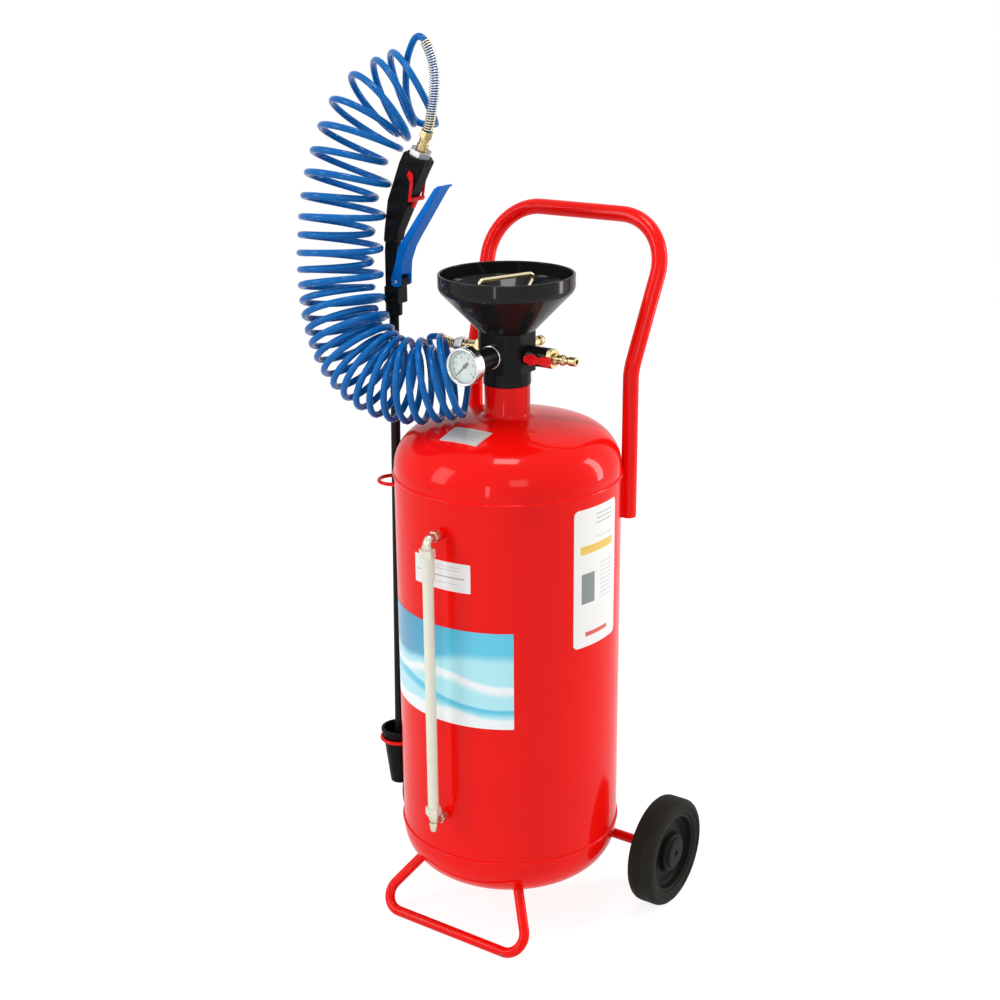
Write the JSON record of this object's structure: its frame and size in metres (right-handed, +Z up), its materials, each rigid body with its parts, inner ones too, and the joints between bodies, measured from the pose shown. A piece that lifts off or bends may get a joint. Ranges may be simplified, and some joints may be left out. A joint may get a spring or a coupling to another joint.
{
  "type": "wheeled foam sprayer",
  "caption": "Wheeled pressure foam sprayer with a red steel tank, filler funnel, gauge, valves, level tube, push handle, and a spray gun on a lance with a coiled blue hose.",
  "frame": {"origin": "on the floor under the tank's axis, the bottom centre of the object without its hose and spring guards", "axes": "+Z up along the tank's axis, -Y to the level tube and gauge, +Y to the push handle, +X to the air inlet"},
  "size_m": [0.4057, 0.3232, 1.007],
  "materials": {
    "red_paint": "gloss",
    "black_metal": "satin",
    "black_plastic": "satin",
    "funnel_plastic": "semi-gloss",
    "brass": "machined",
    "wire": "drawn",
    "chrome": "polished",
    "steel": "satin",
    "plate_silver": "satin",
    "dial_white": "matt",
    "needle_black": "satin",
    "gauge_glass": "clear",
    "red_plastic": "gloss",
    "blue_plastic": "semi-gloss",
    "hose_blue": "gloss",
    "tyre_rubber": "satin",
    "wheel_black": "satin",
    "seal_rubber": "matt",
    "level_clear": "translucent",
    "level_white": "satin",
    "nut_white": "semi-gloss"
  },
  "bodies": {
    "tank": {"tank_barrel": "red_paint", "tank_top_head": "red_paint", "tank_bottom_head": "red_paint", "neck_tube": "red_paint", "data_plate": "plate_silver", "handle": "red_paint", "handle_plates": "red_paint", "foot_bar": "red_paint", "axles": "red_paint", "axle_clips": "steel", "lance_ring": "red_paint", "cup_ring": "red_paint", "lance_cup": "black_plastic", "manifold": "black_metal", "funnel": "funnel_plastic", "gauge_lock_ring": "chrome", "gauge_adapter": "black_plastic", "gauge_case": "chrome", "gauge_dial": "dial_white", "gauge_glass": "gauge_glass", "gauge_bezel": "chrome", "air_valve_body": "black_metal", "air_plug_nut": "brass", "air_plug": "brass", "relief_valve": "brass", "hose_outlet": "brass", "outlet_nut": "chrome", "outlet_spring_guard": "steel", "level_bosses": "red_paint", "level_elbow_top": "brass", "level_elbow_low": "brass", "level_nuts": "nut_white", "level_tube": "level_clear", "level_sleeve": "level_white", "hose": "hose_blue"},
    "filler_seal": {"filler_seal": "seal_rubber"},
    "filler_plug": {"filler_plug": "brass", "plug_handle": "wire"},
    "gauge_needle": {"gauge_needle": "needle_black"},
    "air_valve": {"air_valve_ball": "steel", "air_valve_stem": "brass", "air_valve_lever": "red_plastic", "air_lever_screw": "steel"},
    "relief_knob": {"relief_knob": "brass"},
    "spray_gun": {"lance": "black_metal", "lance_nozzle": "black_plastic", "lance_nut": "black_plastic", "gun_body": "black_plastic", "gun_inlet_nut": "steel", "gun_swivel": "brass", "lever_pin": "steel", "gun_spring_guard": "steel"},
    "gun_lever": {"gun_lever": "blue_plastic"},
    "safety_catch": {"safety_catch": "red_plastic"},
    "left_wheel": {"tyre_left": "tyre_rubber", "wheel_left": "wheel_black", "hub_cap_left": "black_plastic"},
    "right_wheel": {"tyre_right": "tyre_rubber", "wheel_right": "wheel_black", "hub_cap_right": "black_plastic"}
  },
  "joints": [
    {"name": "left_wheel_spin", "type": "hinge", "parent": "tank", "child": "left_wheel", "pos_m": [-0.167, 0.083, 0.065], "axis": [1, 0, 0], "continuous": true},
    {"name": "right_wheel_spin", "type": "hinge", "parent": "tank", "child": "right_wheel", "pos_m": [0.167, 0.083, 0.065], "axis": [1, 0, 0], "continuous": true},
    {"name": "filler_rise", "type": "slide", "parent": "tank", "child": "filler_seal", "axis": [0, 0, 1], "range_m": [0, 0.0061]},
    {"name": "filler_turn", "type": "hinge", "parent": "filler_seal", "child": "filler_plug", "pos_m": [0, 0, 0.705], "axis": [0, 0, 1], "range_deg": [0, 720]},
    {"name": "gauge_sweep", "type": "hinge", "parent": "tank", "child": "gauge_needle", "pos_m": [0, -0.08, 0.672], "axis": [0, 1, 0], "range_deg": [0, 270], "stiffness_Nm_per_rad": 0.0005, "springref_deg": -11.46},
    {"name": "air_valve_turn", "type": "hinge", "parent": "tank", "child": "air_valve", "pos_m": [0.043, 0, 0.672], "axis": [0, 1, 0], "range_deg": [0, 90]},
    {"name": "relief_pull", "type": "slide", "parent": "tank", "child": "relief_knob", "axis": [0, 1, 0], "range_m": [0, 0.003], "stiffness_N_per_m": 2000, "springref_m": -0.002},
    {"name": "gun_lift", "type": "slide", "parent": "tank", "child": "spray_gun", "axis": [0.0209, 0, 0.9998], "range_m": [0, 0.065], "deforming": ["hose"]},
    {"name": "lever_squeeze", "type": "hinge", "parent": "spray_gun", "child": "gun_lever", "pos_m": [-0.12694, -0.022, 0.741], "axis": [0, -1, 0], "range_deg": [0, 6.5], "stiffness_Nm_per_rad": 0.6, "springref_deg": -17.19},
    {"name": "catch_turn", "type": "hinge", "parent": "spray_gun", "child": "safety_catch", "pos_m": [-0.10194, -0.022, 0.861], "axis": [0, -1, 0], "range_deg": [0, 10]}
  ],
  "couplings": [
    {"joint": "filler_rise", "follows": "filler_turn", "m_per_rad": 0.00047746}
  ]
}
